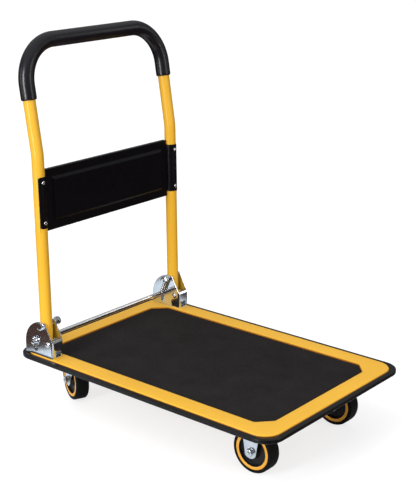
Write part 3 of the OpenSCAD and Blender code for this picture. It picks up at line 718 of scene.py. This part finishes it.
def deck_mat():
    """Flat sheet in the recess, its upper edge rounded over."""
    loops = [cut_loop(MAT_HIGH.x, MAT_HIGH.y, *CUT, FLOOR_Z, 0)]
    for t in quarter_turn(4):
        z = MAT_HIGH.z - MAT_EDGE + MAT_EDGE * math.sin(t)
        loops.append(cut_loop(MAT_HIGH.x, MAT_HIGH.y, *CUT, z, MAT_EDGE * (math.cos(t) - 1)))
    Build().rings(loops).piece("deck_mat_sheet", "deck", "deck_mat", ("deck_mat",), 50)


def deck_bumper():
    """Extruded rubber strip: flat top, rounded outer edges, a groove and a lip under the skirt."""
    low, top = BUMPER_LOW.z, BUMPER_HIGH.z
    edge_r, groove_z, groove_r, lip, rounding = 2.0, low + 3.4, 0.9, 5.0, 0.5
    loops = [deck_rim(lip, DECK_LOW.z),
             deck_rim(0, DECK_LOW.z),
             deck_rim(0, top - rounding),
             rim_loop(DECK_X + rounding, DECK_Y + rounding, DECK_R, top)]
    for i in range(7):
        t = QUARTER * (1 - i / 6)
        loops.append(bumper_rim(edge_r * (1 - math.cos(t)), top - edge_r + edge_r * math.sin(t)))
    for i in range(7):
        t = PI * (0.5 + i / 6)
        loops.append(bumper_rim(-groove_r * math.cos(t), groove_z + groove_r * math.sin(t)))
    for i in range(7):
        t = -QUARTER * i / 6
        loops.append(bumper_rim(edge_r * (1 - math.cos(t)), low + edge_r + edge_r * math.sin(t)))
    loops.append(deck_rim(lip - rounding, low))
    loops.append(deck_rim(lip, low + rounding))
    Build().rings(loops, wrap=True).piece("bumper_strip", "deck", "bumper_rubber",
                                          ("deck_bumper",), 40)


# ---------- Handle ----------

def on_handle(x, z, y=0.0):
    """Point of the standing handle: z runs up the lower legs from the pivot, x forwards."""
    c, w = math.cos(STAND), math.sin(STAND)
    return Vector((PIVOT.x + x * c - z * w, y, PIVOT.z + x * w + z * c))


def frame_line(top_only=False):
    """Centre line of the bent tube, from one heel to the other, or of its top alone."""
    back, rise = math.sin(LEAN), math.cos(LEAN)
    line = [(-UPPER * back, LEG + UPPER * rise)]
    if top_only:
        line.append((-(UPPER - GRIP_L) * back, LEG + (UPPER - GRIP_L) * rise))
        radii = [0, CORNER, CORNER, 0]
    else:
        line += [(0, LEG), (0, -HEEL)]
        radii = [0, BEND_R, CORNER, CORNER, BEND_R, 0]
    points = [on_handle(x, z, -HANDLE_Y) for x, z in reversed(line)]
    points += [on_handle(x, z, HANDLE_Y) for x, z in line]
    return fillet_path(points, radii)


def inner_alongs(line, ends):
    """Directions along a line, without those of its first and last points, as many as ends."""
    return [(line[k + 1] - line[k - 1]).normalized() for k in range(ends, len(line) - ends)]


def handle_frame():
    """Bent tube whose walls turn in at the open heels."""
    path = resampled(frame_line(), 20)
    outer, bore, rounding = TUBE_D / 2, TUBE_D / 2 - TUBE_T, 0.3
    lip, depth = UP * 0.5, UP * 25
    line = [path[0] + depth, path[0] + lip] + path + [path[-1] + lip, path[-1] + depth]
    end = [bore, bore, outer - rounding]
    radii = end + [outer] * (len(path) - 2) + end[::-1]
    alongs = [UP] * 3 + inner_alongs(line, 3) + [DOWN] * 3
    Build().sweep(line, radii, 40, alongs, FORWARD).piece(
        "handle_frame", "handle", "yellow_paint", ("handle_tube",), 60)


def grip_sleeve():
    """Sleeve round the top of the tube, its ends rounded down to it."""
    path = resampled(frame_line(True), 12)
    r = GRIP_D / 2
    # Distance from the sleeve's end, and radius there.
    end = [(0.0, TUBE_D / 2 + 0.05), (0.0, r - 2.2), (0.5, r - 0.9), (1.6, r - 0.2), (3.4, r)]
    first, last = (path[1] - path[0]).normalized(), (path[-2] - path[-1]).normalized()
    line = ([path[0] + first * d for d, _ in end] + path[1:-1]
            + [path[-1] + last * d for d, _ in reversed(end)])
    radii = [e for _, e in end] + [r] * (len(path) - 2) + [e for _, e in reversed(end)]
    alongs = [first] * len(end) + inner_alongs(line, len(end)) + [-last] * len(end)
    Build().sweep(line, radii, 40, alongs, FORWARD).piece(
        "grip_sleeve", "handle", "grip_rubber", ("handle_grip",), 50)


# ---------- Wheels ----------

def both_faces(side):
    """Profile from its half on one side of the wheel."""
    return side + [(r, -z) for r, z in reversed(side)]


def wheel(corner):
    """Tyre with a fine mould line, a ring on each face, and the hub, all on one body."""
    joint = JOINTS["wheel_%s_roll" % corner]
    body = "wheel_" + corner
    place = axis_matrix(Vector(joint["pos_m"]) / MM, Vector(joint["axis"]))
    r, half, seat, shoulder = WHEEL_R, TYRE_HALF, WHEEL_R - TYRE_T, TYRE_T / 2
    rounding = 0.4

    side = [(seat, -half + rounding), (seat + rounding, -half), (r - shoulder, -half)]
    side += [(r - shoulder + shoulder * math.sin(t), -half + shoulder - shoulder * math.cos(t))
             for t in quarter_turn(6, 1)]
    side += [(r, -0.35), (r + MOULD_LINE, -0.15)]
    Build().lathe(both_faces(side), place, 112, wrap=True).piece(
        corner + "_tread", body, "tyre", (corner + "_tyre",), 45)

    inner, lip, sunk, crown, crown_in = seat - BAND, half - 0.5, 2.5, 0.15, 2
    ring = [(inner, lip - sunk), (seat, lip - sunk), (seat, lip - rounding),
            (seat - rounding, lip), (seat - crown_in, lip + crown),
            (inner + crown_in, lip + crown), (inner + rounding, lip), (inner, lip - rounding)]
    build = Build()
    for face in (-1, 1):
        build.lathe([(x, face * z) for x, z in ring], place, 112, wrap=True)
    build.piece(corner + "_bands", body, "ring_yellow", (corner + "_rings",), 50)

    rim, web, boss, bore, hub = lip - sunk, 9.0, 15.0, 8.0, 18.0
    side = [(bore, hub - 0.5), (bore + 0.5, hub), (boss - 1, hub), (boss, hub - 1),
            (boss + 0.8, web + 1.6), (boss + 2.4, web), (inner - 2.6, web),
            (inner - 1.4, web + 1.2), (inner - 1.2, rim + 1.9), (inner, rim + 2.1),
            (inner, rim), (seat, rim)]
    Build().lathe(both_faces(side), place, 96, wrap=True).piece(
        corner + "_core", body, "hub_plastic", (corner + "_hub",), 40)


# ---------- Hinges, lock and fasteners ----------

def both_hinges():
    """Origin on the border under the tube and the outward direction of each hinge."""
    return [(Vector((PIVOT.x, side * HANDLE_Y, DECK_TOP)), Vector((0, side, 0)))
            for side in (-1, 1)]


def bolt(build, head, out, d, reach):
    """Bolt whose head sits on the point head and points out; its thread ends reach below it."""
    flats, thread_l, hidden = d * HEX_FLATS, 14, 0.5
    place = axis_matrix(head, out)
    build.lathe([(flats / 2 * 1.12, 0), (flats / 2 * 1.12, 0.5), (flats / 2, 1.1)], place, 40)
    hexagon(build, flats, 0.6, d * HEAD_HEIGHT, place)
    plain = max(1.0, reach - thread_l)
    thread(build, d, plain, reach, axis_matrix(head, -out), shank=plain + hidden)


def nut(build, seat, out, d):
    """Nut whose lower face is on the point seat, chamfered on both sides, with a thin washer."""
    flats, washer = d * HEX_FLATS, 0.9
    place = axis_matrix(seat, out)
    build.lathe([(d / 2, 0), (flats / 2 * 1.2, 0), (flats / 2 * 1.2, washer), (d / 2, washer)],
                place, 40, wrap=True)
    hexagon(build, flats, washer, d * NUT_HEIGHT, place, chamfer_low=True)


def hinge_hardware():
    """Bolts, nuts and rivets of both brackets, and the lock bar's washers and pins."""
    bolts, nuts, pivots, pivot_nuts, rivets = Build(), Build(), Build(), Build(), Build()
    washers, pins = Build(), Build()
    nut_y, tip = SPRING_Y + SPRING_D / 2 + SPRING_GAP, 3
    dome = [(7.0, 0.0), (6.9, 0.9), (6.0, 2.0), (4.2, 2.75), (2.0, 3.0)]
    rivet_r, washer_r, washer_z, rounding, pin_out = 5, 10, (0.3, 1.8), 0.3, 5
    for base, out in both_hinges():
        for x in BASE_BOLTS:
            at = base + Vector((x, 0, BRACKET_T))
            bolt(bolts, at, UP, BOLT_D, BASE_BOLT_L)
            nut(nuts, at - UP * (BRACKET_T + SHEET), DOWN, BOLT_D)
        axle = base + UP * (PIVOT.z - DECK_TOP)
        bolt(pivots, axle + out * BRACKET_HALF, out, PIVOT_D,
             BRACKET_HALF + nut_y + PIVOT_D * NUT_HEIGHT + tip)
        nut(pivot_nuts, axle - out * nut_y, -out, PIVOT_D)
        stop = base + Vector((STOP_X, 0, BAR.z - DECK_TOP))
        rivets.lathe([(r, -BRACKET_HALF - h) for r, h in reversed(dome)]
                     + [(rivet_r, -BRACKET_HALF), (rivet_r, BRACKET_HALF)]
                     + [(r, BRACKET_HALF + h) for r, h in dome], axis_matrix(stop, out), 40)
        bar = Vector((BAR.x, base.y, BAR.z))
        low, high = washer_z
        washers.lathe([(BAR_D / 2, low), (washer_r - rounding, low), (washer_r, low + rounding),
                       (washer_r, high - rounding), (washer_r - rounding, high),
                       (BAR_D / 2, high)],
                      axis_matrix(bar + out * BRACKET_HALF, out), 48, wrap=True)
        split_pin(pins, bar + out * (BRACKET_HALF + pin_out))
    bolts.piece("bracket_screws", "deck", "zinc", ("bracket_bolts",))
    nuts.piece("bracket_hex_nuts", "deck", "zinc", ("bracket_nuts",))
    pivots.piece("pivot_screws", "deck", "zinc", ("pivot_bolts",))
    pivot_nuts.piece("pivot_hex_nuts", "deck", "zinc", ("pivot_nuts",))
    rivets.piece("stop_rivet_heads", "deck", "zinc", ("stop_rivets",))
    washers.piece("bar_washers", "lock", "zinc", ("lock_washers",))
    pins.piece("split_pins", "lock", "zinc", ("lock_pins",))


def split_pin(build, at):
    """Wire bent into an eye on top of the bar, its legs through the bar and splayed below."""
    wire, eye, leg, steps = 1.4, 3.6, 0.75, 12
    path = [(-2.6, -11.0), (-1.3, -7.5), (-leg, -5.0), (-leg, 5.2)]
    for i in range(steps + 1):
        t = PI * (-0.4 + 1.8 * i / steps) + PI
        path.append((-eye * math.sin(t), 6.0 + eye + eye * math.cos(t)))
    path += [(leg, 5.2), (leg, -5.0), (1.1, -7.5), (2.0, -10.0)]
    build.sweep(resampled([at + Vector((x, 0, z)) for x, z in path], 2), wire / 2, 12)


def lock_springs():
    """Tension springs with a hook round the pivot bolt and another round the lock bar."""
    hook_turn, steps, pitch, clear, blend_in = 250, 16, WIRE * 1.12, 0.1, 7
    sideways = Vector((0, 1, 0))
    for name, side in (("left", 1), ("right", -1)):
        y = side * (HANDLE_Y - SPRING_Y)
        top, low = Vector((PIVOT.x, y, PIVOT.z)), Vector((BAR.x, y, BAR.z))
        down = (low - top).normalized()
        across = sideways.cross(down)
        hook = PIVOT_D / 2 + WIRE / 2 + clear
        coil_r, run = (SPRING_D - WIRE) / 2, (low - top).length - 2 * hook - 3 * WIRE
        turns = int(run / pitch)
        first = top + down * (hook + 1.5 * WIRE)
        path = []
        for i in range(steps + 1):
            t = math.radians(hook_turn * (i / steps - 1))
            path.append(top + hook * (math.cos(t) * down + math.sin(t) * across))
        for i in range(turns * steps + 1):
            t = 2 * PI * i / steps
            path.append(first + down * (run * i / (turns * steps))
                        + coil_r * (math.cos(t) * across + math.sin(t) * sideways))
        for i in range(steps + 1):
            t = math.radians(hook_turn * i / steps)
            path.append(low - hook * (math.cos(t) * down + math.sin(t) * across))
        obj = Build().sweep(path, WIRE / 2, 8).piece(
            "coil_spring_" + name, None, "chrome", ("lock_spring_" + name,), 80)
        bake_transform(obj)


def lock_bar():
    """Round bar with rounded ends."""
    r, end = BAR_D / 2, BAR_HIGH.y
    side = [(3.9, -end), (4.7, -end + 0.25), (r, -end + 1.1), (r, -end + 40)]
    Build().lathe(side + [(r, 0)] + [(x, -z) for x, z in reversed(side)],
                  axis_matrix(BAR, (0, 1, 0)), 40).piece(
        "lock_rod", "lock", "chrome", ("lock_bar",), 50)


def panel_screws():
    """Pan heads with a cross recess, on the tabs over the front of each tube."""
    build = Build()
    n, sunk = 48, 0.7
    cross_reach, cross_half, cross_depth = 2.2, 0.45, 1.0
    radii = (4.4, 4.4, 4.35, 4.0, 3.2, 2.5, 2.1, 1.8, 1.4, 1.0, 0.6, 0.25)
    heights = (-sunk, 0.0, 0.7, 1.35, 1.85, 2.08, 2.12, 2.14, 2.16, 2.18, 2.2, 2.2)
    for side in (-1, 1):
        for z in SCREW_Z:
            seat = on_handle(SCREW_SEAT, z, side * HANDLE_Y)
            ahead = on_handle(SCREW_SEAT + 1, z, side * HANDLE_Y) - seat
            place = axis_matrix(seat, ahead)
            loops = []
            for r, h in zip(radii, heights):
                loop = []
                for i in range(n):
                    t = 2 * PI * i / n
                    arm = t + PI / 4
                    off_arm = min(abs(r * math.cos(arm)), abs(r * math.sin(arm)))
                    cut = cross_depth if r < cross_reach and off_arm < cross_half else 0.0
                    loop.append(place @ Vector((r * math.cos(t), r * math.sin(t), h - cut)))
                loops.append(loop)
            build.rings(loops)
    build.piece("panel_pan_heads", "handle", "chrome", ("panel_screws",), 45)


def heel_plugs():
    """Plugs in the open ends of the tube."""
    build = Build()
    r = TUBE_D / 2 - TUBE_T
    for side in (-1, 1):
        low = on_handle(0, -HEEL, side * HANDLE_Y)
        up = on_handle(0, -HEEL + 1, side * HANDLE_Y) - low
        build.lathe([(r - 3, 0.5), (r - 2.4, 0.0), (r - 0.6, 0.0), (r - 0.05, 0.6),
                     (r - 0.05, 12)], axis_matrix(low, up), 40)
    build.piece("heel_caps", "handle", "hub_plastic", ("heel_plugs",), 50)


def caster_fasteners():
    """Four studs and nuts for each caster's plate."""
    studs, nuts = Build(), Build()
    low, high = box("caster_studs")
    plate_z = high.z - PLATE_T
    caster = Vector(JOINTS["swivel_left_turn"]["pos_m"]) / MM
    ends = (-1, 1)
    for ex, ey, sx, sy in itertools.product(ends, ends, ends, ends):
        at = Vector((ex * abs(caster.x) + sx * STUD_X, ey * caster.y + sy * STUD_Y, plate_z))
        thread(studs, BOLT_D, -PLATE_T, plate_z - low.z, axis_matrix(at, DOWN))
        nut(nuts, at, DOWN, BOLT_D)
    studs.piece("caster_threads", "deck", "zinc", ("caster_studs",))
    nuts.piece("caster_hex_nuts", "deck", "zinc", ("caster_nuts",))


def axle_set(corners, names, body, replaced):
    """Axle bolts with their heads inboard and their nuts outboard."""
    bolts, nuts = Build(), Build()
    length = FORK_OUT * 2 + AXLE_D * NUT_HEIGHT + 2
    for corner in corners:
        joint = JOINTS["wheel_%s_roll" % corner]
        centre, out = Vector(joint["pos_m"]) / MM, Vector(joint["axis"])
        if corner.endswith("right"):
            out = -out
        bolt(bolts, centre - out * FORK_OUT, -out, AXLE_D, length)
        nut(nuts, centre + out * FORK_OUT, out, AXLE_D)
    bolts.piece(names[0], body, "zinc", (replaced[0],))
    nuts.piece(names[1], body, "zinc", (replaced[1],))


def swivel_race(side):
    """Pressed race under the plate: a wide lower ring, a waist and a rolled upper lip."""
    x, y, _ = Vector(JOINTS["swivel_%s_turn" % side]["pos_m"]) / MM
    low, high = box("swivel_race_" + side)
    z0, z1, r = low.z, high.z, (high.x - low.x) / 2
    bore, edge, waist = 6.1, 0.6, r - 1.6
    Build().lathe([(bore, z0), (r - edge, z0), (r, z0 + edge), (r, z0 + 3.4), (waist, z0 + 4.6),
                   (waist, z1 - 2.0), (r - 0.2, z1 - 1.1), (r - 0.2, z1 - 0.2), (r - edge, z1),
                   (bore, z1)],
                  Matrix.Translation((x, y, 0)), 72, wrap=True).piece(
        "race_" + side, "swivel_" + side, "zinc", ("swivel_race_" + side,), 40)


def kingpins():
    """Domed rivets on which the rear casters turn."""
    low, high = box("kingpins")
    head, shank_r, head_h = low.z, 6, 6
    profile = [(4, head), (8.2, head + 0.5), (9.6, head + 1.6), (10, head + 3),
               (10, head + head_h), (shank_r, head + head_h), (shank_r, high.z)]
    build = Build()
    for side in ("left", "right"):
        x, y, _ = Vector(JOINTS["swivel_%s_turn" % side]["pos_m"]) / MM
        build.lathe(profile, Matrix.Translation((x, y, 0)), 48)
    build.piece("kingpin_rivets", "deck", "zinc", ("kingpins",), 40)


# ---------- The cart ----------
# Pieces of its own for most CAD nodes, then rounded copies of the bent sheets, and last the
# materials of the CAD nodes that still show.

deck_pan()
deck_mat()
deck_bumper()
handle_frame()
grip_sleeve()
for corner in ("front_left", "front_right", "rear_left", "rear_right"):
    wheel(corner)

hinge_hardware()
lock_springs()
lock_bar()
panel_screws()
heel_plugs()
caster_fasteners()
axle_set(("front_left", "front_right"), ("front_axle_bolts", "front_axle_hex_nuts"), "deck",
         ("front_axles", "front_axle_nuts"))
for side in ("left", "right"):
    axle_set(("rear_" + side,), ("rear_axle_bolt_" + side, "rear_axle_hex_nut_" + side),
             "swivel_" + side, ("rear_axle_" + side, "rear_axle_nut_" + side))
    swivel_race(side)
kingpins()

for node in ("hinge_bracket_left", "hinge_bracket_right", "front_fork_left", "front_fork_right",
             "swivel_plate_left", "swivel_plate_right", "swivel_fork_left", "swivel_fork_right"):
    softened(node, "zinc")
softened("back_panel", "panel_black", 0.5, 20)
for node in ("crossbar_front", "crossbar_rear", "rail_left", "rail_right"):
    softened(node, "yellow_paint", 0.5)

SLOT_OF = {s["node"]: s["material_slot"] for s in frame["record"]["subparts"]}
for name, obj in NODES.items():
    if not obj.hide_render:
        obj.data.materials.clear()
        obj.data.materials.append(MATERIALS[SLOT_OF[name]])
